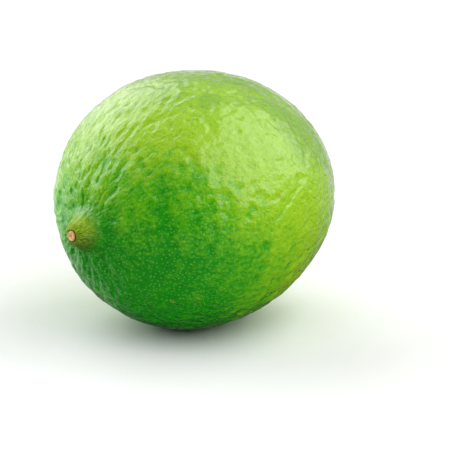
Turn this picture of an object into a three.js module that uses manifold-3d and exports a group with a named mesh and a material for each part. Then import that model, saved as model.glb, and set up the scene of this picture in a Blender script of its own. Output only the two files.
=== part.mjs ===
// A whole lime, as picked, lying on its side on a small flat spot. Millimetres, +Z up.
//
// The fruit's own axis lies along X: the blossom end, with its short neck and the dry stub of the
// style, is towards -X, and the dimpled stem end, with the calyx button, is towards +X. The origin
// is on the resting surface, under the middle of the lime.

import * as THREE from "three";
import { ParametricGeometry } from "three/addons/geometries/ParametricGeometry.js";
import { mergeVertices } from "three/addons/utils/BufferGeometryUtils.js";
import Module from "manifold-3d";

// ---- Driving dimensions ------------------------------------------------------------------------

const WIDTH = 54.6; // across the fattest section, side to side
const HEIGHT = 52.8; // the same section, bottom to top, before the flat spot is taken off
const BLOSSOM_LENGTH = 28.7; // from the fattest section to the blossom end, without its neck
const STEM_LENGTH = 31.7; // from the fattest section to the stem end, without its dimple
const SHOULDER_HEIGHT = 0.8; // the blossom end rises this much towards the foot of the neck
const SHOULDER_RADIUS = 8;
const NECK_HEIGHT = 4.2; // how far the neck stands out of its shoulder
const NECK_RADIUS = 3.8; // where its side has come down to about a third of that height
const STYLE_REACH = NECK_HEIGHT + SHOULDER_HEIGHT + BLOSSOM_LENGTH; // fattest section to neck's tip
const STYLE_RADIUS = 1.15; // dry stub of the style on top of the neck
const STYLE_HEIGHT = 0.35;
const DIMPLE_DEPTH = 1.5;
const DIMPLE_RADIUS = 4.3;
const FLAT_DEPTH = 0.3; // what the resting spot takes off the belly: a spot about 8 mm across
const BUTTON_RADIUS = 2.5; // calyx, to the middle of its wavy edge
const BUTTON_THICKNESS = 0.8;
const STALK_RADIUS = 1.0; // broken fruit stalk in the middle of the calyx
const STALK_HEIGHT = 0.9;
const FIT_GAP = 0.3; // between the calyx and the floor of the dimple

// ---- Character of the fruit --------------------------------------------------------------------

const BLOSSOM_FULLNESS = 2.04; // exponent of the half outline: 2 is an ellipse, more is blunter
const STEM_FULLNESS = 1.97;
const NECK_STEEPNESS = 4.5; // exponent of the neck's bell: more is a flatter top and steeper sides
const SHOULDER_STEEPNESS = 2;
const DIMPLE_STEEPNESS = 4;
const SWELLS = [
  // slow waves that keep the section from being a perfect oval
  { waves: 3, share: 0.0085, turn: 4.1 },
  { waves: 5, share: 0.002, turn: 2.1 },
];
const PLEATS = { count: 11, height: 0.16, place: 8.5 }; // soft folds round the foot of the neck
const RIBS = { count: 8, height: 0.14, place: 6.5 }; // soft ribs round the dimple
const FOLD_SPREAD = 3; // how far a fold runs on either side of its place
const LOBES = { count: 5, share: 0.13 }; // the calyx's wavy edge

// ---- Facets ------------------------------------------------------------------------------------

const RINGS = 44; // from end to end
const SIDES = 64; // round the fruit
const CROWDING = 0.72; // how much closer the rings are at the two ends, 0 to 1
const STUB_SIDES = 20;
const BUTTON_RINGS = 18;
const BUTTON_SIDES = 40;

// ---- Solids ------------------------------------------------------------------------------------

const wasm = await Module();
wasm.setup();

// A closed three.js surface as a solid that can be joined and cut.
function solidOf(geometry) {
  const bare = geometry.clone();
  bare.deleteAttribute("normal");
  bare.deleteAttribute("uv");
  const merged = mergeVertices(bare, 1e-4);
  return new wasm.Manifold(
    new wasm.Mesh({
      numProp: 3,
      vertProperties: merged.attributes.position.array,
      triVerts: new Uint32Array(merged.index.array),
    }),
  );
}

// The solid's surface as a three.js geometry with flat facets.
function geometryOf(solid) {
  const mesh = solid.getMesh();
  const indexed = new THREE.BufferGeometry();
  indexed.setAttribute("position", new THREE.BufferAttribute(mesh.vertProperties, 3));
  indexed.setIndex(new THREE.BufferAttribute(mesh.triVerts, 1));
  const geometry = indexed.toNonIndexed();
  geometry.computeVertexNormals();
  return geometry;
}

// ---- The fruit ---------------------------------------------------------------------------------

// A bell, 1 on the fruit's axis and fading out past `radius`.
const bell = (r, radius, steepness) => Math.exp(-((r / radius) ** steepness));

// A ring of folds round the axis: none on the axis, most at their place.
function folds({ count, height, place }, r, angle) {
  const strength = (r / place) * Math.exp(-(((r - place) / FOLD_SPREAD) ** 2));
  return height * strength * Math.cos(count * angle);
}

// A point of the peel: `along` runs from the neck's top to the stem end, `round` is the turn.
function peelPoint(along, round, target) {
  const crowded = along - (CROWDING * Math.sin(2 * Math.PI * along)) / (2 * Math.PI);
  const tilt = crowded * Math.PI; // 0 at the blossom end, a half turn at the stem end
  const angle = -round * 2 * Math.PI;
  const isBlossomHalf = Math.cos(tilt) > 0;
  const fullness = isBlossomHalf ? BLOSSOM_FULLNESS : STEM_FULLNESS;
  const reach = Math.abs(Math.cos(tilt)) ** (2 / fullness);
  const share = Math.max(Math.sin(tilt), 0) ** (2 / fullness);
  const r = (share * (WIDTH + HEIGHT)) / 4;
  const shoulder = SHOULDER_HEIGHT * bell(r, SHOULDER_RADIUS, SHOULDER_STEEPNESS);
  const neck = shoulder + NECK_HEIGHT * bell(r, NECK_RADIUS, NECK_STEEPNESS) + folds(PLEATS, r, angle);
  const dimple = DIMPLE_DEPTH * bell(r, DIMPLE_RADIUS, DIMPLE_STEEPNESS) + folds(RIBS, r, angle);
  const swell = SWELLS.reduce((sum, s) => sum + s.share * Math.cos(s.waves * angle + s.turn), 1);
  target.set(
    isBlossomHalf ? -BLOSSOM_LENGTH * reach - neck : STEM_LENGTH * reach - dimple,
    (share * WIDTH * swell * Math.cos(angle)) / 2,
    (share * HEIGHT * swell * Math.sin(angle)) / 2,
  );
}

function makeFruit() {
  const peel = solidOf(new ParametricGeometry(peelPoint, RINGS, SIDES));

  const stubLength = 4 * STYLE_HEIGHT; // the rest of it is sunk in the neck
  const stub = new THREE.CylinderGeometry(0.88 * STYLE_RADIUS, STYLE_RADIUS, stubLength, STUB_SIDES);
  stub.rotateZ(Math.PI / 2);
  stub.translate(stubLength / 2 - STYLE_REACH - STYLE_HEIGHT, 0, 0);

  const surface = new THREE.BoxGeometry(WIDTH, WIDTH, HEIGHT);
  surface.translate(0, 0, FLAT_DEPTH - HEIGHT);

  const skin = new THREE.MeshStandardMaterial({ color: 0x4fa516, roughness: 0.38, metalness: 0 });
  const fruit = new THREE.Mesh(geometryOf(peel.add(solidOf(stub)).subtract(solidOf(surface))), skin);
  fruit.name = "fruit";
  return fruit;
}

// ---- The calyx button --------------------------------------------------------------------------

// Its outline from the middle of the underside, round the edge and up to the broken stalk: each
// point is [distance from the axis, height above the underside].
const BUTTON_OUTLINE = [
  [0, 0],
  [0.6 * BUTTON_RADIUS, 0],
  [0.96 * BUTTON_RADIUS, 0.05 * BUTTON_THICKNESS],
  [BUTTON_RADIUS, 0.5 * BUTTON_THICKNESS],
  [0.9 * BUTTON_RADIUS, 0.86 * BUTTON_THICKNESS],
  [0.6 * BUTTON_RADIUS, BUTTON_THICKNESS],
  [STALK_RADIUS, BUTTON_THICKNESS + 0.2 * STALK_HEIGHT],
  [0.92 * STALK_RADIUS, BUTTON_THICKNESS + STALK_HEIGHT],
  [0.5 * STALK_RADIUS, BUTTON_THICKNESS + 0.85 * STALK_HEIGHT],
  [0, BUTTON_THICKNESS + 0.8 * STALK_HEIGHT],
];

// A point of the button: `along` follows the outline, `round` is the turn.
function buttonPoint(along, round, target) {
  const place = along * (BUTTON_OUTLINE.length - 1);
  const step = Math.min(Math.floor(place), BUTTON_OUTLINE.length - 2);
  const [r0, h0] = BUTTON_OUTLINE[step];
  const [r1, h1] = BUTTON_OUTLINE[step + 1];
  const r = THREE.MathUtils.lerp(r0, r1, place - step);
  const height = THREE.MathUtils.lerp(h0, h1, place - step);
  const angle = -round * 2 * Math.PI;
  const outward = THREE.MathUtils.smoothstep(r, STALK_RADIUS, BUTTON_RADIUS);
  const wavy = r * (1 + LOBES.share * outward * Math.cos(LOBES.count * angle));
  target.set(height, wavy * Math.cos(angle), wavy * Math.sin(angle));
}

function makeStemButton() {
  const surface = new ParametricGeometry(buttonPoint, BUTTON_RINGS, BUTTON_SIDES);
  const husk = new THREE.MeshStandardMaterial({ color: 0x8a8148, roughness: 0.8, metalness: 0 });
  const button = new THREE.Mesh(geometryOf(solidOf(surface)), husk);
  button.name = "stem_button";
  button.position.x = STEM_LENGTH - DIMPLE_DEPTH + FIT_GAP;
  return button;
}

// ---- Assembly ----------------------------------------------------------------------------------

const lime = new THREE.Group();
lime.add(makeFruit());
lime.add(makeStemButton());

// The origin goes under the middle of the lime's length and width, on the resting surface.
const bounds = new THREE.Box3().setFromObject(lime);
const middle = bounds.getCenter(new THREE.Vector3());
lime.position.set(-middle.x, -middle.y, -bounds.min.z);

export default lime;
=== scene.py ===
# %% [markdown]
# # A whole lime
#
# This lesson makes one lime for a still life: a ripe green fruit that lies on its side, with a
# short neck and a dry style stub at the blossom end and a small calyx button at the stem end.
# A measured frame of the fruit is loaded first. It says how big everything is and where it lies,
# and each piece made here is fitted to it. All lengths are in metres.

# %% Load the frame
import math

import bmesh
import bpy
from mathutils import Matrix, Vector, noise


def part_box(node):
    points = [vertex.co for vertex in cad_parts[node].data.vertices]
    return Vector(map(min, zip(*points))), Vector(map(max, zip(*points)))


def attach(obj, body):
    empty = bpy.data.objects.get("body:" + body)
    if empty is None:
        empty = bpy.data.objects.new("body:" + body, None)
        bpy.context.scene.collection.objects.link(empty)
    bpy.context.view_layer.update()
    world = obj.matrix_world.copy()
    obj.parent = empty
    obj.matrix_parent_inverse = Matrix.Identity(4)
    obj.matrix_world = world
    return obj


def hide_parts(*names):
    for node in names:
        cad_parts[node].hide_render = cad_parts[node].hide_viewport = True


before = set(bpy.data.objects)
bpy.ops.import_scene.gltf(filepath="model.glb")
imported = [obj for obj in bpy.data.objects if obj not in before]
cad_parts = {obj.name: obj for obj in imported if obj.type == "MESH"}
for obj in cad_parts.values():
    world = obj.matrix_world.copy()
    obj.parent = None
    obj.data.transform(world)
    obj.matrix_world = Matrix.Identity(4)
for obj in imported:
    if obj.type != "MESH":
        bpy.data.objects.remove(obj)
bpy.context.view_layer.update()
fruit_low, fruit_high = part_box("fruit")
button_low, button_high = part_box("stem_button")

# %% [markdown]
# ## Sizes
#
# A lime grows round one straight axis, so a few sizes fix its whole shape: the section where it is
# fattest, how far each end lies from there, the neck and the dimple. They repeat the frame's own
# rule, which lets the fine peel lie exactly on the frame. Where the axis lies is measured on the
# frame: the flat end of the style stub is the frame's lowest face along X, and its middle is on
# the axis.

# %% Sizes that repeat the frame's rule
MM = 0.001
WIDTH = 54.6 * MM
HEIGHT = 52.8 * MM
BLOSSOM_LENGTH = 28.7 * MM
STEM_LENGTH = 31.7 * MM
NECK_HEIGHT = 4.2 * MM
NECK_RADIUS = 3.8 * MM
SHOULDER_HEIGHT = 0.8 * MM
SHOULDER_RADIUS = 8.0 * MM
STYLE_RADIUS = 1.15 * MM
STYLE_HEIGHT = 0.35 * MM
DIMPLE_DEPTH = 1.5 * MM
DIMPLE_RADIUS = 4.3 * MM
BUTTON_RADIUS = 2.5 * MM

FLAT_WITHIN = 0.02 * MM
frame_points = [point.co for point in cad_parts["fruit"].data.vertices]
stub_face = [place for place in frame_points if place.x < fruit_low.x + FLAT_WITHIN]
axis = sum(stub_face, Vector()) / len(stub_face)
neck_top_x = fruit_low.x + STYLE_HEIGHT
middle_x = neck_top_x + NECK_HEIGHT + SHOULDER_HEIGHT + BLOSSOM_LENGTH
fruit_middle = Vector((middle_x, axis.y, axis.z))
print("fattest section in mm:", [round(c * 1000, 3) for c in fruit_middle])

# %% [markdown]
# ## Arithmetic with node sockets
#
# Both Geometry Nodes and shader nodes have a Math node, and a formula takes many of them. Wiring
# each one by hand hides the formula. So a small class wraps an output socket: adding, multiplying
# or raising two of them makes the Math node and wires it, and the formula can be read as it is
# written in a book.

# %% A socket that can be calculated with
def plug(tree, value, slot):
    """Wires a Wire into an input, or writes a plain value on it."""
    if isinstance(value, Wire):
        tree.links.new(value.socket, slot)
    else:
        slot.default_value = value


class Wire:
    """One output in a node tree. Arithmetic on it adds a Math node and gives that node's output."""

    def __init__(self, tree, socket):
        self.tree = tree
        self.socket = socket

    def math(self, operation, *values):
        made = self.tree.nodes.new("ShaderNodeMath")
        made.operation = operation
        for slot, value in zip(made.inputs, values):
            plug(self.tree, value, slot)
        return Wire(self.tree, made.outputs[0])

    def __add__(self, other):
        return self.math("ADD", self, other)

    def __sub__(self, other):
        return self.math("SUBTRACT", self, other)

    def __rsub__(self, other):
        return self.math("SUBTRACT", other, self)

    def __mul__(self, other):
        return self.math("MULTIPLY", self, other)

    def __truediv__(self, other):
        return self.math("DIVIDE", self, other)

    def __rtruediv__(self, other):
        return self.math("DIVIDE", other, self)

    def __pow__(self, other):
        return self.math("POWER", self, other)

    __radd__ = __add__
    __rmul__ = __mul__

    def call(self, operation):
        """A function of one value, such as the sine or the absolute value."""
        return self.math(operation, self)

    def least(self, floor):
        return self.math("MAXIMUM", self, floor)

    def most(self, ceiling):
        return self.math("MINIMUM", self, ceiling)

    def ramp(self, low, high):
        """A smooth rise from 0 at low to 1 at high."""
        made = self.tree.nodes.new("ShaderNodeMapRange")
        made.interpolation_type = "SMOOTHSTEP"
        for slot, value in zip(made.inputs, (self, low, high)):
            plug(self.tree, value, slot)
        return Wire(self.tree, made.outputs[0])


# %% Helpers for vectors, textures and whole nodes
def node(tree, kind, settings=None, **inputs):
    """Adds a node, sets its properties, then its inputs by their names."""
    made = tree.nodes.new(kind)
    for key, value in (settings or {}).items():
        setattr(made, key, value)
    for key, value in inputs.items():
        plug(tree, value, made.inputs[key.replace("_", " ")])
    return made


def wire(tree, made, output=0):
    return Wire(tree, made.outputs[output])


def vector(tree, x, y, z):
    return wire(tree, node(tree, "ShaderNodeCombineXYZ", X=x, Y=y, Z=z))


def parts(tree, of):
    split = node(tree, "ShaderNodeSeparateXYZ", Vector=of)
    return [wire(tree, split, output) for output in range(3)]


def vector_math(tree, operation, *values):
    made = tree.nodes.new("ShaderNodeVectorMath")
    made.operation = operation
    for slot, value in zip(made.inputs, values):
        plug(tree, value, slot)
    return Wire(tree, made.outputs["Value" if operation in ("LENGTH", "DOT_PRODUCT") else "Vector"])


def noise_at(tree, place, size, detail=0.0):
    """Smooth noise from 0 to 1 whose lumps are about `size` apart."""
    return wire(tree, node(tree, "ShaderNodeTexNoise", Vector=place, Scale=1 / size, Detail=detail))


def dot_distance(tree, from_middle, pitch):
    """Distance along the surface to the nearest of many dots that lie about `pitch` apart.
    A cell's own middle lies above or below the surface, so it is first moved onto it."""
    cell = node(tree, "ShaderNodeTexVoronoi", Vector=from_middle, Scale=1 / pitch)
    here = vector_math(tree, "NORMALIZE", from_middle)
    dot = vector_math(tree, "NORMALIZE", wire(tree, cell, "Position"))
    apart = vector_math(tree, "LENGTH", vector_math(tree, "SUBTRACT", here, dot))
    return apart * vector_math(tree, "LENGTH", from_middle)


# %% [markdown]
# ## The peel's shape
#
# The body is an oval of revolution with a different fullness at each end. A bell added at the
# blossom end makes the neck, and one taken off at the stem end makes the dimple. The shape could be
# turned from an outline, but its facets would then crowd into a point at both ends, just where the
# neck needs good ones. So Geometry Nodes start from a finely divided cube, blow it up to a ball and
# move each point by the rule. A cube's facets stay nearly square all over.

# %% The rule of the body
FACETS_A_SIDE = 128
CROWDING = 0.25  # how much closer the facets are at the two ends
FULLNESS = {"blossom": 2.04, "stem": 1.97}
NECK_STEEPNESS = 4.5
SHOULDER_STEEPNESS = 2
DIMPLE_STEEPNESS = 4
SWELLS = [(3, 0.0085, 4.1), (5, 0.002, 2.1)]  # waves round the section, share, turn
PLEATS = (11, 0.16 * MM, 8.5 * MM)  # folds round the neck's foot: how many, height, place
RIBS = (8, 0.14 * MM, 6.5 * MM)  # folds round the dimple
FOLD_SPREAD = 3 * MM


def bell(distance, radius, steepness):
    return ((distance / radius) ** steepness * -1).call("EXPONENT")


def folds(distance, angle, ring):
    count, height, place = ring
    window = (((distance - place) / FOLD_SPREAD) ** 2 * -1).call("EXPONENT")
    return distance / place * window * (angle * count).call("COSINE") * height


def tree_with_inputs(name, sizes):
    """A geometry tree with one named length input for each size, and its input sockets as Wires."""
    tree = bpy.data.node_groups.new(name, "GeometryNodeTree")
    for label, value in sizes.items():
        kind = "NodeSocketInt" if isinstance(value, int) else "NodeSocketFloat"
        tree.interface.new_socket(label, in_out="INPUT", socket_type=kind).default_value = value
    tree.interface.new_socket("Geometry", in_out="OUTPUT", socket_type="NodeSocketGeometry")
    entry = tree.nodes.new("NodeGroupInput")
    return tree, {label: Wire(tree, entry.outputs[label]) for label in sizes}


def body_point(tree, size, direction):
    """Where the point of the ball in `direction` goes on the fruit, and its measures there."""
    x, y, z = parts(tree, direction)
    from_blossom = (x * -1).math("ARCCOSINE", x * -1)
    tilt = from_blossom - (from_blossom * 2).call("SINE") * (CROWDING / 2)
    angle = y.math("ARCTAN2", z, y)
    is_stem = x.math("GREATER_THAN", x, 0.0)
    fullness = is_stem * (FULLNESS["stem"] - FULLNESS["blossom"]) + FULLNESS["blossom"]
    reach = tilt.call("COSINE").call("ABSOLUTE") ** (2 / fullness)
    share = tilt.call("SINE").least(0) ** (2 / fullness)
    distance = share * (size["Width"] + size["Height"]) * 0.25
    neck = bell(distance, size["Neck Radius"], NECK_STEEPNESS) * size["Neck Height"]
    shoulder = bell(distance, size["Shoulder Radius"], SHOULDER_STEEPNESS) * size["Shoulder Height"]
    dimple = bell(distance, size["Dimple Radius"], DIMPLE_STEEPNESS) * size["Dimple Depth"]
    blossom_reach = size["Blossom Length"] * reach + (neck + shoulder)
    blossom_x = (blossom_reach + folds(distance, angle, PLEATS)) * -1
    stem_x = size["Stem Length"] * reach - dimple - folds(distance, angle, RIBS)
    swell = sum((angle * waves + turn).call("COSINE") * part for waves, part, turn in SWELLS) + 1
    along = blossom_x * (1 - is_stem) + stem_x * is_stem
    across = share * swell * size["Width"] * 0.5 * angle.call("COSINE")
    upward = share * swell * size["Height"] * 0.5 * angle.call("SINE")
    return vector(tree, along, across, upward), distance, angle, tilt


# %% [markdown]
# ## The peel's relief
#
# Lime peel is never smooth. From coarse to fine it has slow waves, bulges and dents a couple of
# millimetres wide that are drawn out near the neck, fine ridges that fan out from the neck's foot,
# and uneven lines that run up the neck. A bump map could fake all of it, but then the outline would
# stay a perfect curve. So the relief is real: the fine mesh is pushed along its own normals by the
# sum of these layers. Only the pits over the oil glands are too small for the mesh, and they come
# with the finish.

# %% The layers of relief
WRINKLE_STRETCH = 1 / 2  # below 1, so that wrinkles are drawn out along the fruit near its ends
CREASE_SIDE = math.radians(-55)  # the side of the neck's foot with a sharp fold
CREASE_RADIUS = 4.6 * MM
CREASE_WIDTH = 0.4 * MM
CREASE_DEPTH = 0.25 * MM
RIDGE_OFFSET = 0.8 * MM  # of the ridge outside the crease
RIDGE_WIDTH = 0.35 * MM
RIDGE_HEIGHT = 0.28 * MM


def another_place(tree, from_middle):
    """The same place shifted far away, so that two layers of noise have nothing in common."""
    return vector_math(tree, "ADD", from_middle, vector(tree, 0.5, 0.2, 0.9))


def along_peel(tree, from_middle, width, length):
    """A place to look up noise at, that makes lumps `width` wide and drawn out from end to end."""
    x, y, z = parts(tree, from_middle)
    off_axis = vector_math(tree, "LENGTH", vector(tree, 0.0, y, z)).least(0.01 * MM)
    share = off_axis / (WIDTH / 2)
    spread = share ** WRINKLE_STRETCH / off_axis * (WIDTH / 2 / width)
    return vector(tree, x / length, y * spread, z * spread)


# %% Crease beside the neck, and the ridges round it
def crease(distance, angle):
    """A groove at the foot of the neck with a ridge outside it, on one side only."""
    side = (angle - CREASE_SIDE).call("COSINE").ramp(-0.2, 0.6)
    groove = bell(distance - CREASE_RADIUS, CREASE_WIDTH, 2) * -CREASE_DEPTH
    ridge = bell(distance - (CREASE_RADIUS + RIDGE_OFFSET), RIDGE_WIDTH, 2) * RIDGE_HEIGHT
    return (groove + ridge) * side


def radial_ridges(tree, from_middle, distance, angle, ridges):
    """Ridges that run out from the axis. They rise and fade over two spans of the distance from
    it, and wander from side to side, so that no two are alike."""
    window = distance.ramp(*ridges["rise"]) * (1 - distance.ramp(*ridges["fade"]))
    wander = noise_at(tree, from_middle, ridges["wander_size"]) * ridges["wander"]
    wave = (angle * ridges["count"] + wander).call("COSINE")
    return wave * window * ridges["height"]


FAN = {
    "count": 42,
    "height": 0.09 * MM,
    "rise": (4.5 * MM, 7 * MM),
    "fade": (12 * MM, 20 * MM),
    "wander_size": 3 * MM,
    "wander": 9,
}
NECK_LINES = {
    "count": 9,
    "height": 0.07 * MM,
    "rise": (0.9 * MM, 1.8 * MM),
    "fade": (3.5 * MM, 6 * MM),
    "wander_size": 1.6 * MM,
    "wander": 7,
}

# %% Bulges, dents and waves
# Each height that is a pair is [all over the fruit, how much more near the neck].
WAVE_SIZE, WAVE_HEIGHT = 13 * MM, 0.4 * MM
SWELL_SIZE, SWELL_HEIGHT = (3.2 * MM, 4.0 * MM), (0.12 * MM, 0.20 * MM)
BULGE_SIZE, BULGE_HEIGHT = (1.6 * MM, 2.3 * MM), (0.35 * MM, 0.45 * MM)
DENT_SIZE, DENT_DEPTH = (1.9 * MM, 2.6 * MM), (0.16 * MM, 0.08 * MM)
DENT_EDGE = (0.30, 0.47)  # the share of the noise below which a dent is full, and above which none
PEBBLE_SIZE, PEBBLE_HEIGHT = 1.5 * MM, 0.35 * MM


def height_of(pair, near_neck):
    all_over, more = pair
    return near_neck * more + all_over


def bulges(tree, from_middle, near_neck):
    """The small bulges and dents of the peel, drawn out along the fruit near the neck."""
    bulge_place = along_peel(tree, another_place(tree, from_middle), *BULGE_SIZE)
    rises = noise_at(tree, bulge_place, 1.0, detail=0.6) - 0.5
    pebbles = noise_at(tree, from_middle, PEBBLE_SIZE, detail=0.6) - 0.5
    dents = 1 - noise_at(tree, along_peel(tree, from_middle, *DENT_SIZE), 1.0).ramp(*DENT_EDGE)
    return (
        rises * height_of(BULGE_HEIGHT, near_neck)
        + pebbles * PEBBLE_HEIGHT
        - dents * height_of(DENT_DEPTH, near_neck)
    )


def relief(tree, from_middle, distance, angle, near_neck):
    """Height of the peel above the body's rule, without the bulges."""
    waves = noise_at(tree, another_place(tree, from_middle), WAVE_SIZE) - 0.5
    swells = noise_at(tree, along_peel(tree, from_middle, *SWELL_SIZE), 1.0, detail=0.5) - 0.5
    fan_side = (angle - CREASE_SIDE).call("COSINE").ramp(-0.5, 0.7)
    return (
        waves * WAVE_HEIGHT
        + swells * height_of(SWELL_HEIGHT, near_neck)
        + crease(distance, angle)
        + radial_ridges(tree, from_middle, distance, angle, FAN) * fan_side
        + radial_ridges(tree, from_middle, distance, angle, NECK_LINES)
    )


# %% [markdown]
# The tree joins the two: first the body, then the relief along the body's own normals, and last the
# belly pressed flat where the fruit rests. The pressing comes last, so that no pebble reaches below
# the table. The height of the small bulges is also stored on the points under the name "bulge",
# because the finish needs it: on a real lime the bulges are yellower than the dents between them,
# and the finish also paints shade into the dents.

# %% The whole peel tree
def make_peel_tree(material):
    sizes = {
        "Facets A Side": FACETS_A_SIDE,
        "Width": WIDTH,
        "Height": HEIGHT,
        "Blossom Length": BLOSSOM_LENGTH,
        "Stem Length": STEM_LENGTH,
        "Neck Height": NECK_HEIGHT,
        "Neck Radius": NECK_RADIUS,
        "Shoulder Height": SHOULDER_HEIGHT,
        "Shoulder Radius": SHOULDER_RADIUS,
        "Dimple Depth": DIMPLE_DEPTH,
        "Dimple Radius": DIMPLE_RADIUS,
        "Axis X": 0.0,
        "Axis Y": 0.0,
        "Axis Z": HEIGHT / 2,
    }
    tree, size = tree_with_inputs("Lime peel", sizes)
    corners = size["Facets A Side"] + 1
    counts = {"Vertices_" + side: corners for side in "XYZ"}
    cube = node(tree, "GeometryNodeMeshCube", Size=(2, 2, 2), **counts)
    on_cube = wire(tree, tree.nodes.new("GeometryNodeInputPosition"))
    even = [(part * (math.pi / 4)).call("TANGENT") for part in parts(tree, on_cube)]
    direction = vector_math(tree, "NORMALIZE", vector(tree, *even))
    ball = node(
        tree,
        "GeometryNodeStoreNamedAttribute",
        {"data_type": "FLOAT_VECTOR", "domain": "POINT"},
        Geometry=wire(tree, cube),
        Name="growth",
        Value=direction,
    )
    stored = "GeometryNodeInputNamedAttribute"
    grown = node(tree, stored, {"data_type": "FLOAT_VECTOR"}, Name="growth")
    point, distance, angle, tilt = body_point(tree, size, wire(tree, grown))
    axis_place = vector(tree, size["Axis X"], size["Axis Y"], size["Axis Z"])
    body = node(
        tree,
        "GeometryNodeSetPosition",
        Geometry=wire(tree, ball),
        Position=vector_math(tree, "ADD", point, axis_place),
    )
    place = wire(tree, tree.nodes.new("GeometryNodeInputPosition"))
    normal = wire(tree, tree.nodes.new("GeometryNodeInputNormal"))
    from_middle = vector_math(tree, "SUBTRACT", place, axis_place)
    near_neck = 1 - tilt.ramp(0.25, 1.5)
    marked = node(
        tree,
        "GeometryNodeStoreNamedAttribute",
        {"data_type": "FLOAT", "domain": "POINT"},
        Geometry=wire(tree, body),
        Name="bulge",
        Value=bulges(tree, from_middle, near_neck),
    )
    bulge = node(tree, stored, {"data_type": "FLOAT"}, Name="bulge")
    height = relief(tree, from_middle, distance, angle, near_neck) + wire(tree, bulge)
    peel = node(
        tree,
        "GeometryNodeSetPosition",
        Geometry=wire(tree, marked),
        Offset=vector_math(tree, "MULTIPLY", normal, vector(tree, height, height, height)),
    )
    x, y, z = parts(tree, wire(tree, tree.nodes.new("GeometryNodeInputPosition")))
    pressed = node(
        tree,
        "GeometryNodeSetPosition",
        Geometry=wire(tree, peel),
        Position=vector(tree, x, y, z.least(0.0)),
    )
    smooth = node(tree, "GeometryNodeSetShadeSmooth", Geometry=wire(tree, pressed))
    real = node(tree, "GeometryNodeRealizeInstances", Geometry=wire(tree, smooth))
    coated = node(tree, "GeometryNodeSetMaterial", Geometry=wire(tree, real))
    coated.inputs["Material"].default_value = material
    leave = tree.nodes.new("NodeGroupOutput")
    tree.links.new(coated.outputs[0], leave.inputs["Geometry"])
    return tree


def plain_object(name, tree, values):
    """Runs a geometry tree once with these inputs and keeps the result as a plain mesh object."""
    holder = bpy.data.objects.new(name + "_maker", bpy.data.meshes.new(name + "_maker"))
    bpy.context.scene.collection.objects.link(holder)
    modifier = holder.modifiers.new("Shape", "NODES")
    modifier.node_group = tree
    for item in tree.interface.items_tree:
        if item.in_out == "INPUT" and item.name in values:
            modifier[item.identifier] = values[item.name]
    evaluated = holder.evaluated_get(bpy.context.evaluated_depsgraph_get())
    mesh = bpy.data.meshes.new_from_object(evaluated)
    finish = mesh.materials[-1]  # the holder's own empty slot comes first
    mesh.materials.clear()
    mesh.materials.append(finish)
    holder.modifiers.clear()
    bpy.data.objects.remove(holder)
    mesh.name = name
    made = bpy.data.objects.new(name, mesh)
    bpy.context.scene.collection.objects.link(made)
    return made


# %% [markdown]
# ## Effects that several finishes share
#
# The peel, the dry stub and the husk of the calyx all have a fine grain, slow blotches and small
# dry flecks, at different sizes and strengths. Each effect is a node group, built once and placed
# in each material with its own values.

# %% Shared effects
def effect_group(name, inputs, outputs):
    tree = bpy.data.node_groups.new(name, "ShaderNodeTree")
    for label, value in inputs.items():
        kind = "NodeSocketVector" if value is None else "NodeSocketFloat"
        made = tree.interface.new_socket(label, in_out="INPUT", socket_type=kind)
        if value is not None:
            made.default_value = value
    for label in outputs:
        tree.interface.new_socket(label, in_out="OUTPUT", socket_type="NodeSocketFloat")
    entry = tree.nodes.new("NodeGroupInput")
    leave = tree.nodes.new("NodeGroupOutput")
    return tree, {label: Wire(tree, entry.outputs[label]) for label in inputs}, leave


def make_blotches():
    """Slow uneven colour: 0 to 1, soft edged."""
    inputs = {"Place": None, "Size": 10 * MM, "Seed": 0.0}
    tree, given, leave = effect_group("Blotches", inputs, ["Mask"])
    shift = vector(tree, given["Seed"], given["Seed"], given["Seed"])
    place = vector_math(tree, "ADD", given["Place"], shift)
    made = node(tree, "ShaderNodeTexNoise", Vector=place, Scale=1 / given["Size"], Detail=3.0)
    plug(tree, wire(tree, made).ramp(0.32, 0.68), leave.inputs["Mask"])
    return tree


FLECK_RADIUS = 0.22  # as a share of the distance between flecks


def make_flecks():
    """Small separate specks: 1 inside a speck and 0 outside. Coverage says how many there are."""
    inputs = {"Place": None, "Size": 1 * MM, "Coverage": 0.1, "Softness": 0.1}
    tree, given, leave = effect_group("Flecks", inputs, ["Mask"])
    warp = node(tree, "ShaderNodeTexNoise", Vector=given["Place"], Scale=2 / given["Size"])
    size = vector(tree, given["Size"], given["Size"], given["Size"])
    bent = vector_math(tree, "MULTIPLY_ADD", wire(tree, warp, "Color"), size, given["Place"])
    cell = node(tree, "ShaderNodeTexVoronoi", Vector=bent, Scale=1 / given["Size"])
    chosen = parts(tree, wire(tree, cell, "Color"))[0]
    kept = chosen.math("LESS_THAN", chosen, given["Coverage"])
    from_fleck = wire(tree, cell)
    inside = 1 - from_fleck.ramp(FLECK_RADIUS - given["Softness"], FLECK_RADIUS + given["Softness"])
    plug(tree, kept * inside, leave.inputs["Mask"])
    return tree


def make_grain():
    """Fine unevenness for bump and roughness: a height from 0 to 1."""
    inputs = {"Place": None, "Size": 0.5 * MM}
    tree, given, leave = effect_group("Fine grain", inputs, ["Height"])
    scale = 1 / given["Size"]
    made = node(tree, "ShaderNodeTexNoise", Vector=given["Place"], Scale=scale, Detail=4.0)
    plug(tree, wire(tree, made), leave.inputs["Height"])
    return tree


EFFECTS = {"blotches": make_blotches(), "flecks": make_flecks(), "grain": make_grain()}
print("shared effects:", [group.name for group in EFFECTS.values()])


def effect(tree, name, place, **values):
    """Places a shared effect in a material and gives its one output."""
    made = tree.nodes.new("ShaderNodeGroup")
    made.node_tree = EFFECTS[name]
    plug(tree, place, made.inputs["Place"])
    for key, value in values.items():
        made.inputs[key].default_value = value
    return Wire(tree, made.outputs[0])
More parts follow.
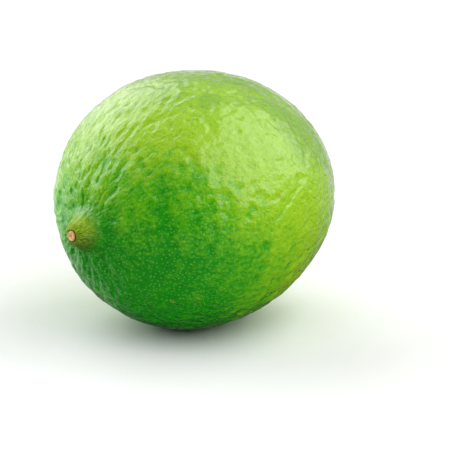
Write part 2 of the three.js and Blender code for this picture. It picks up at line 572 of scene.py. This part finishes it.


# %% [markdown]
# ## The peel's finish
#
# A lime is deep green where it hung in the shade and yellower where the sun reached it. Here the
# peel is yellower at the top and the stem half, partly its own colour and partly painted light where
# the lamps fall, and deep green at the lower front, partly painted shade. The ripest part of the top
# is duller again. One spot near the neck is painted shade: it is deeper green where the front lies
# in shadow. A picture could be wrapped round the fruit, but it would stretch at both ends. So one
# number is worked out for each place from its direction, the stored bulges and some noise, and four
# greens are blended by it. The bulges come out yellower and the dents darker: partly the peel's own
# colour, partly painted shade in the dents. On top come pale dots where oil glands lie under the
# skin, the olive neck with painted light on its top and painted shade under it, a brown ring of
# painted shade in the crease round the dry stub and a few tan specks. The skin is waxy: a soft,
# broad gloss under a thin clear coat, and nearly no coat on the neck.

# %% Helpers for finishes
def colour_of(red, green, blue):
    """A colour given in screen values from 0 to 255, as the linear values that nodes expect."""
    shares = [part / 255 for part in (red, green, blue)]
    linear = [s / 12.92 if s <= 0.04045 else ((s + 0.055) / 1.055) ** 2.4 for s in shares]
    return (*linear, 1.0)


def blend_colours(tree, share, first, second):
    made = tree.nodes.new("ShaderNodeMix")
    made.data_type = "RGBA"
    plug(tree, share, made.inputs[0])
    plug(tree, first, made.inputs[6])
    plug(tree, second, made.inputs[7])
    return Wire(tree, made.outputs[2])


def new_material(name):
    made = bpy.data.materials.new(name)
    made.use_nodes = True
    shader = made.node_tree.nodes["Principled BSDF"]
    place = wire(made.node_tree, made.node_tree.nodes.new("ShaderNodeTexCoord"), "Object")
    return made, made.node_tree, shader, place


def bump(tree, shader, height, depth):
    made = node(tree, "ShaderNodeBump", Height=height, Distance=depth, Strength=1.0)
    tree.links.new(made.outputs["Normal"], shader.inputs["Normal"])


# %% How yellow each place of the peel is: its own colour, with painted light and shade
# The peel is painted lighter towards this side, the top and the stem half, where the lamps fall, and
# darker at the lower front, which lies in shade; partly this is the lime's own colour.
SUN_AND_LIGHT_SIDE = Vector((0.74, 0.21, 0.64))
# A spot of painted shade: round this direction the peel is painted deeper green, where the front lies
# in shadow.
PAINTED_SHADE_SPOT = Vector((-0.763, -0.532, 0.355))
PAINTED_SHADE_SPOT_EDGE = (0.9, 1.0)  # cosines of how far round the spot the shade reaches
PAINTED_SHADE_SPOT_DEPTH = 0.15
LIGHTER_ALL_OVER = 0.06
# The bulges, and the lumps of the bump map, are painted yellower and the hollows between them darker:
# partly the peel's own colour, partly painted shade in the hollows.
LIGHTER_ON_BULGES = 0.6 / MM
BLOTCH_SHARE, LUMP_SHARE, GRAIN_SHARE = 0.2, 0.7, 0.4  # how uneven each noise makes it


def sun_and_light_of(tree, from_middle, blotch, lumps, grain):
    """About -1 at the deep green places to 1 at the yellow ones, uneven from place to place.
    Partly the lime's own colour and partly painted light and shade: higher at the top, where the
    lamps fall, and lower at the lower front and in one spot, which lie in shade.
    """
    sun = vector_math(tree, "DOT_PRODUCT", from_middle, vector(tree, *(SUN_AND_LIGHT_SIDE / (WIDTH / 2))))
    outwards = vector_math(tree, "NORMALIZE", from_middle)
    shade = vector_math(tree, "DOT_PRODUCT", outwards, vector(tree, *PAINTED_SHADE_SPOT))
    bulge = wire(tree, node(tree, "ShaderNodeAttribute", {"attribute_name": "bulge"}), "Fac")
    uneven = sun + (blotch - 0.5) * BLOTCH_SHARE + (lumps - 0.5) * LUMP_SHARE
    uneven = uneven + (grain - 0.5) * GRAIN_SHARE
    on_bulges = uneven + LIGHTER_ALL_OVER + bulge * LIGHTER_ON_BULGES
    return on_bulges - shade.ramp(*PAINTED_SHADE_SPOT_EDGE) * PAINTED_SHADE_SPOT_DEPTH


# %% Greens of the peel, with the pale dots over the oil glands
PEEL_DEEP = colour_of(12, 146, 0)
PEEL_MID = colour_of(89, 178, 0)
PEEL_SUN_AND_LIGHT = colour_of(151, 200, 0)
PEEL_RIPE = colour_of(128, 180, 0)
GLAND_PALE = colour_of(108, 200, 70)
DEEP_TO_MID = (-0.92, -0.42)  # between which values of `sun_and_light` one green gives way to the next
MID_TO_SUN_AND_LIGHT = (-0.64, -0.08)
SUN_AND_LIGHT_TO_RIPE = (0.2, 0.8)
GLAND_PITCH = 0.98 * MM
GLAND_EDGE = (0.06 * MM, 0.26 * MM)
GLAND_STRENGTH = 0.5


def peel_greens(tree, sun_and_light, blotch, to_gland):
    skin = blend_colours(tree, sun_and_light.ramp(*DEEP_TO_MID), PEEL_DEEP, PEEL_MID)
    skin = blend_colours(tree, sun_and_light.ramp(*MID_TO_SUN_AND_LIGHT), skin, PEEL_SUN_AND_LIGHT)
    ripe = (sun_and_light + (blotch - 0.5) * 0.5).ramp(*SUN_AND_LIGHT_TO_RIPE)
    skin = blend_colours(tree, ripe, skin, PEEL_RIPE)
    gland = 1 - to_gland.ramp(*GLAND_EDGE)
    clearer_in_shade = 1 - sun_and_light.ramp(-0.7, 0.0) * 0.8
    return blend_colours(tree, gland * clearer_in_shade * GLAND_STRENGTH, skin, GLAND_PALE)


# %% Olive neck with painted light on top, and painted shade under it and round the stub
NECK_PAINTED_SHADE = colour_of(52, 104, 0)
NECK_PAINTED_LIGHT = colour_of(150, 188, 0)
# A brown for the painted shade in the crease round the stub, and for the flecks on the stub and husk.
CREASE_SHADE_AND_FLECK_BROWN = colour_of(92, 58, 12)
NECK_END_ALONG = (1.2 * MM, 5.4 * MM)  # from the neck's tip
NECK_END_ACROSS = (2.6 * MM, 5.6 * MM)  # from the axis
NECK_PAINTED_LIGHT_SPAN = (-1.3, 0.9)  # from the painted shade on the neck's underside to the painted light on its top, in neck radii
CREASE_SHADE_RING_SPAN = (1.05 * MM, 1.5 * MM)  # the ring of painted shade in the crease round the stub, from the stub's middle


def neck_colours(tree, from_middle, lumps, skin):
    """The skin with the neck's colours laid over it, and 1 on the neck and 0 elsewhere. The neck is
    painted lighter on top and darker underneath, and a brown ring of painted shade lies in the crease
    round the stub.
    """
    x, y, z = parts(tree, from_middle)
    off_axis = vector_math(tree, "LENGTH", vector(tree, 0.0, y, z))
    from_tip = x - (neck_top_x - middle_x)
    on_neck = (1 - from_tip.ramp(*NECK_END_ALONG)) * (1 - off_axis.ramp(*NECK_END_ACROSS))
    # Painted light and shade: the neck is painted yellow on its top and darker underneath.
    painted_light = ((z + y * 0.5) / NECK_RADIUS + (lumps - 0.5) * 4).ramp(*NECK_PAINTED_LIGHT_SPAN)
    neck_skin = blend_colours(tree, painted_light, NECK_PAINTED_SHADE, NECK_PAINTED_LIGHT)
    skin = blend_colours(tree, (on_neck * (lumps + 0.6)).most(1.0), skin, neck_skin)
    # A ring of painted shade darkens the crease where the stub meets the neck.
    to_stub = vector_math(tree, "LENGTH", vector(tree, from_tip, y, z))
    painted_crease_shade = (1 - to_stub.ramp(*CREASE_SHADE_RING_SPAN)) * 0.9
    return blend_colours(tree, painted_crease_shade, skin, CREASE_SHADE_AND_FLECK_BROWN), on_neck


# %% Peel material
SPECK_TAN = colour_of(176, 148, 84)
LUMP_SIZE = (0.8 * MM, 1.1 * MM)
PIT_RADIUS = 0.5 * MM
BUMP_DEPTH = 0.2 * MM


def make_peel_material():
    material, tree, shader, place = new_material("peel")
    from_middle = vector_math(tree, "SUBTRACT", place, vector(tree, *fruit_middle))
    blotch = effect(tree, "blotches", place, Size=9 * MM, Seed=0.3)
    lumps = noise_at(tree, along_peel(tree, from_middle, *LUMP_SIZE), 1.0, detail=2.0)
    grain = effect(tree, "grain", place, Size=0.4 * MM)
    speck = effect(tree, "flecks", place, Size=1.6 * MM, Coverage=0.02, Softness=0.12)
    to_gland = dot_distance(tree, from_middle, GLAND_PITCH)

    sun_and_light = sun_and_light_of(tree, from_middle, blotch, lumps, grain)
    skin = peel_greens(tree, sun_and_light, blotch, to_gland)
    skin, on_neck = neck_colours(tree, from_middle, lumps, skin)
    skin = blend_colours(tree, speck * 0.55, skin, SPECK_TAN)
    tree.links.new(skin.socket, shader.inputs["Base Color"])

    plug(tree, grain * 0.1 + on_neck * 0.3 + 0.14, shader.inputs["Roughness"])
    plug(tree, 1 - on_neck * 0.8, shader.inputs["Coat Weight"])
    pits = to_gland.ramp(0.0, PIT_RADIUS)
    bump(tree, shader, grain * 0.6 + pits * 0.3 + lumps * 1.9, BUMP_DEPTH)
    shader.inputs["Specular IOR Level"].default_value = 0.3
    shader.inputs["Coat Roughness"].default_value = 0.2
    return material


peel_material = make_peel_material()
print("peel finish nodes:", len(peel_material.node_tree.nodes))

# %% Grow the peel
peel = plain_object(
    "lime_peel",
    make_peel_tree(peel_material),
    {"Axis X": fruit_middle.x, "Axis Y": fruit_middle.y, "Axis Z": fruit_middle.z},
)
peel.data.calc_loop_triangles()
print("peel triangles:", len(peel.data.loop_triangles), "of", peel.data.materials[0].name)

# %% [markdown]
# ## The style stub
#
# When the blossom dropped, its style left a dry corky disc on the neck's tip: a raised rim round a
# hollow with a small point in the middle. It is about 2 mm across, so it is turned from a short
# outline in mesh code. It is not quite round, and each point is moved a little by noise to roughen
# it. The outline starts in the middle of the face and goes round the rim and back into the neck.

# %% Turning helper
ROUGHENING = 0.09 * MM  # how far noise moves each point
ROUGHENING_SIZE = 0.45 * MM


def turned(name, outline, start, sides, wave, seed):
    """A closed body turned round the X axis from [distance off axis, length along X] points.
    `wave(distance, angle)` scales the distance. The seed makes the noise the same in each run."""
    noise.seed_set(seed)
    shape = bmesh.new()
    rings = []
    for distance, along in outline:
        ring = []
        for side in range(1 if distance == 0 else sides):
            angle = 2 * math.pi * side / sides
            reach = distance * wave(distance, angle)
            point = Vector((along, reach * math.cos(angle), reach * math.sin(angle)))
            shake = noise.noise_vector(point / ROUGHENING_SIZE)
            ring.append(shape.verts.new(start + point + shake * ROUGHENING))
        rings.append(ring)
    for lower, upper in zip(rings, rings[1:]):
        for side in range(sides):
            corners = [
                lower[side % len(lower)],
                lower[(side + 1) % len(lower)],
                upper[(side + 1) % len(upper)],
                upper[side % len(upper)],
            ]
            shape.faces.new(dict.fromkeys(corners))
    bmesh.ops.recalc_face_normals(shape, faces=shape.faces)
    mesh = bpy.data.meshes.new(name)
    shape.to_mesh(mesh)
    shape.free()
    mesh.polygons.foreach_set("use_smooth", [True] * len(mesh.polygons))
    made = bpy.data.objects.new(name, mesh)
    bpy.context.scene.collection.objects.link(made)
    return made


def rounded(corners, steps):
    """The corner points joined by a smooth curve through their midpoints, both ends kept."""
    points = [Vector((*corner, 0)) for corner in corners]
    middles = [(a + b) / 2 for a, b in zip(points, points[1:])]
    curve = [points[0]]
    for before, corner, after in zip(middles, points[1:-1], middles[1:]):
        for step in range(steps):
            share = step / steps
            curve.append(before.lerp(corner, share).lerp(corner.lerp(after, share), share))
    curve += [middles[-1], points[-1]]
    return [(point.x, point.y) for point in curve]


# %% Style stub
DISC_SHARE = 0.88  # drying has made the disc this much narrower than the frame's stub
STUB_SIDES = 40
CURVE_STEPS = 4


def make_style_stub():
    r, h = STYLE_RADIUS * DISC_SHARE, STYLE_HEIGHT
    point = [(0, 1.2 * h), (0.12 * r, 1.1 * h)]
    hollow = [(0.28 * r, 0.3 * h), (0.5 * r, 0.1 * h)]
    rim = [(0.72 * r, -0.2 * h), (0.93 * r, 0.1 * h), (0.94 * r, 1.0 * h)]
    inside_neck = [(0.8 * r, 2.2 * h), (0, 2.6 * h)]

    def not_quite_round(distance, angle):
        oval = 0.05 * math.cos(3 * angle + 1) - 0.09 * math.cos(2 * angle)
        return 1 + oval * distance / r

    outline = rounded(point + hollow + rim + inside_neck, CURVE_STEPS)
    start = Vector((fruit_low.x, axis.y, axis.z))
    return turned("style_stub", outline, start, STUB_SIDES, not_quite_round, seed=2)


style_stub = make_style_stub()
print("style stub faces:", len(style_stub.data.polygons))

# %% [markdown]
# ## The stem button
#
# At the stem end sits what is left of the calyx: a small five-lobed disc, dry and olive brown, with
# the broken stalk in its middle. It is turned in the same way, with an edge that waves five times
# round. The waves fade out towards the stalk, which stays round.

# %% Stem button
CALYX_THICKNESS = 0.8 * MM
STALK_RADIUS = 1.0 * MM
BUTTON_SIDES = 80
LOBES = 5
LOBE_DEPTH = 0.14  # as a share of the calyx's radius


def make_stem_button():
    r, t, s = BUTTON_RADIUS, CALYX_THICKNESS, STALK_RADIUS
    tall = button_high.x - button_low.x
    under = [(0, -0.5 * t), (0.7 * r, -0.5 * t), (0.95 * r, -0.2 * t)]
    edge = [(1.02 * r, 0.35 * t), (0.93 * r, 0.8 * t), (0.7 * r, 0.85 * t)]
    stalk = [(1.25 * s, 0.95 * t), (1.02 * s, 1.3 * t), (1.0 * s, 0.98 * tall)]
    break_ring = [(0.85 * s, tall), (0.6 * s, 0.93 * tall), (0.35 * s, 0.9 * tall), (0, 0.9 * tall)]

    def lobed(distance, angle):
        fade = max(0, min(1, (distance - s) / (r - s)))
        return 1 + LOBE_DEPTH * math.cos(LOBES * angle) * fade

    outline = rounded(under + edge + stalk + break_ring, CURVE_STEPS)
    start = Vector((button_low.x, axis.y, axis.z))
    return turned("stem_button_husk", outline, start, BUTTON_SIDES, lobed, seed=5)


stem_button = make_stem_button()
print("stem button faces:", len(stem_button.data.polygons))

# %% [markdown]
# ## Dry finishes
#
# The stub is pale cork with browner blotches, and the calyx husk is olive brown. They differ only
# in their colours and in how coarse the pattern is, so one function makes both. Both are matt, and
# both use the same blotches, flecks and grain as the peel.

# %% Cork and husk materials
def make_dry_material(name, light, dark, grain_size, blotch_size):
    material, tree, shader, place = new_material(name)
    blotch = effect(tree, "blotches", place, Size=blotch_size, Seed=0.1)
    fleck = effect(tree, "flecks", place, Size=0.5 * MM, Coverage=0.25, Softness=0.15)
    grain = effect(tree, "grain", place, Size=grain_size)
    skin = blend_colours(tree, blotch, light, dark)
    skin = blend_colours(tree, fleck * 0.5, skin, CREASE_SHADE_AND_FLECK_BROWN)
    tree.links.new(skin.socket, shader.inputs["Base Color"])
    plug(tree, grain * 0.2 + 0.6, shader.inputs["Roughness"])
    bump(tree, shader, grain, 0.12 * MM)
    return material


CORK_PALE = colour_of(246, 206, 148)
CORK_BROWN = colour_of(200, 144, 86)
HUSK_OLIVE = colour_of(140, 132, 70)
HUSK_BROWN = colour_of(96, 78, 36)

cork = make_dry_material("cork", CORK_PALE, CORK_BROWN, 0.3 * MM, 0.6 * MM)
husk = make_dry_material("husk", HUSK_OLIVE, HUSK_BROWN, 0.4 * MM, 1.2 * MM)
style_stub.data.materials.append(cork)
stem_button.data.materials.append(husk)
print("dry finishes:", cork.name, husk.name)

# %% [markdown]
# ## Table, light and camera
#
# The lime lies on a plain pale round table in soft studio light. A large softbox on the right gives
# the broad oval shine there, and one behind on the left gives the shine on that shoulder. Two more
# softboxes only fill the shadows: their reflection is switched off, so they add no shine of their
# own. The room is dark on the camera's side and bright behind the fruit, which brings out the pale
# rim, and a pale green card low on the left tints the rim there. The camera itself sees a plain
# pale background wherever the table ends.

# %% Table
TABLE_RADIUS = 0.55  # it ends before the softboxes, which light nothing behind their own planes
TABLE_WHITE = (0.94, 0.94, 0.94, 1)
TABLE_GREY = (0.92, 0.92, 0.92, 1)


def make_table():
    bpy.ops.mesh.primitive_circle_add(radius=TABLE_RADIUS, vertices=128, fill_type="NGON")
    table = bpy.context.object
    table.name = "table"
    material, tree, shader, place = new_material("table")
    shade = effect(tree, "blotches", place, Size=0.4, Seed=0.5)
    plug(tree, blend_colours(tree, shade, TABLE_GREY, TABLE_WHITE), shader.inputs["Base Color"])
    shader.inputs["Roughness"].default_value = 0.7
    table.data.materials.append(material)
    table.visible_glossy = False  # a white table would cover the dark belly with its reflection


make_table()

# %% Softboxes
CAMERA_AZIMUTH = -44.9
CAMERA_ELEVATION = 17.7


def direction_at(azimuth, elevation):
    """A unit vector towards an azimuth round the lime, 0 at the front and -90 on the blossom side."""
    a, e = math.radians(azimuth), math.radians(elevation)
    return Vector((math.sin(a) * math.cos(e), -math.cos(a) * math.cos(e), math.sin(e)))


def softbox(name, azimuth, elevation, distance, sides, watts, mirrored=True):
    """A rectangular light that faces the fruit. The fruit's gloss shows it if it is mirrored."""
    data = bpy.data.lights.new(name, "AREA")
    data.shape = "RECTANGLE"
    data.size, data.size_y = sides
    data.energy = watts
    lamp = bpy.data.objects.new(name, data)
    back = direction_at(azimuth, elevation)
    lamp.location = fruit_middle + back * distance
    lamp.visible_glossy = mirrored
    lamp.visible_camera = False
    lamp.rotation_euler = back.to_track_quat("Z", "Y").to_euler()
    bpy.context.scene.collection.objects.link(lamp)


softbox("softbox_right", CAMERA_AZIMUTH + 81, 41, distance=0.45, sides=(0.78, 0.55), watts=2.5)
softbox("softbox_back_left", CAMERA_AZIMUTH - 128, 36, distance=0.5, sides=(0.75, 0.5), watts=1.9)
softbox(
    "fill_front_left",
    CAMERA_AZIMUTH - 8,
    52,
    distance=1.0,
    sides=(1.0, 1.0),
    watts=4.4,
    mirrored=False,
)
softbox(
    "fill_left",
    CAMERA_AZIMUTH - 115,
    5,
    distance=0.8,
    sides=(0.5, 0.5),
    watts=2.8,
    mirrored=False,
)
print("softboxes:", [light.name for light in bpy.data.lights])

# %% Room
ROOM_WHITE = (1, 1, 1, 1)
CARD_GREEN = colour_of(214, 255, 204)
WALL_GLOW = 0.36
CARD_GLOW = 0.5
RIM_GLOW = 0.4
DARK_GLOW = 0.02
BACKGROUND_GLOW = 0.9


def make_room():
    world = bpy.data.worlds.new("room")
    bpy.context.scene.world = world
    world.use_nodes = True
    tree = world.node_tree
    towards = wire(tree, tree.nodes.new("ShaderNodeTexCoord"), "Generated")
    up = parts(tree, towards)[2]

    def facing(azimuth, elevation):
        """The cosine of the angle from this direction. It is 1 straight towards it."""
        side = direction_at(azimuth, elevation)
        return vector_math(tree, "DOT_PRODUCT", towards, vector(tree, *side))

    wall = (1 - facing(CAMERA_AZIMUTH, -25).ramp(-0.65, -0.05)) * up.ramp(-0.6, -0.2)
    card = facing(CAMERA_AZIMUTH - 130, -13).ramp(0.7, 0.95)
    rim = facing(CAMERA_AZIMUTH + 180, -CAMERA_ELEVATION).ramp(0.8, 0.97) * up.ramp(-0.5, -0.25)
    glow = wall * WALL_GLOW + card * CARD_GLOW + rim * RIM_GLOW + DARK_GLOW
    seen = wire(tree, tree.nodes.new("ShaderNodeLightPath"), "Is Camera Ray")
    tint = blend_colours(tree, card * (1 - seen), ROOM_WHITE, CARD_GREEN)
    background = tree.nodes["Background"]
    plug(tree, tint, background.inputs["Color"])
    plug(tree, glow * (1 - seen) + seen * BACKGROUND_GLOW, background.inputs["Strength"])


make_room()

# %% Camera
CAMERA_DISTANCE = 0.70
AIM_RIGHT = 7.65 * MM  # the lime is left of the picture's middle, and above it
AIM_DOWN = 5.83 * MM
PICTURE_WIDTH_AT_LIME = 92.9 * MM
SENSOR_WIDTH = 36  # millimetres, as Blender's lens setting wants it
LIME_MIDDLE = Vector((0, 0, 26.5 * MM))


def make_camera():
    data = bpy.data.cameras.new("camera")
    data.sensor_width = SENSOR_WIDTH
    data.lens = SENSOR_WIDTH * CAMERA_DISTANCE / PICTURE_WIDTH_AT_LIME
    camera = bpy.data.objects.new("camera", data)
    bpy.context.scene.collection.objects.link(camera)
    back = direction_at(CAMERA_AZIMUTH, CAMERA_ELEVATION)
    right = Vector((0, 0, 1)).cross(back).normalized()
    up = back.cross(right)
    camera.location = LIME_MIDDLE + back * CAMERA_DISTANCE
    aim = LIME_MIDDLE + right * AIM_RIGHT - up * AIM_DOWN
    camera.rotation_euler = (camera.location - aim).to_track_quat("Z", "Y").to_euler()
    bpy.context.scene.camera = camera
    print("lens in mm:", round(data.lens))


make_camera()
bpy.context.scene.view_settings.view_transform = "Standard"

# %% [markdown]
# ## Hand the pieces to the frame
#
# The fruit has no moving parts, so every piece rides on the one body. The peel takes the place of
# the frame's fruit and the husk that of its stem button, and the stub is a piece of its own.

# %% Hand over
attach(peel, "root")
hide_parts("fruit")
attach(style_stub, "root")
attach(stem_button, "root")
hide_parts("stem_button")
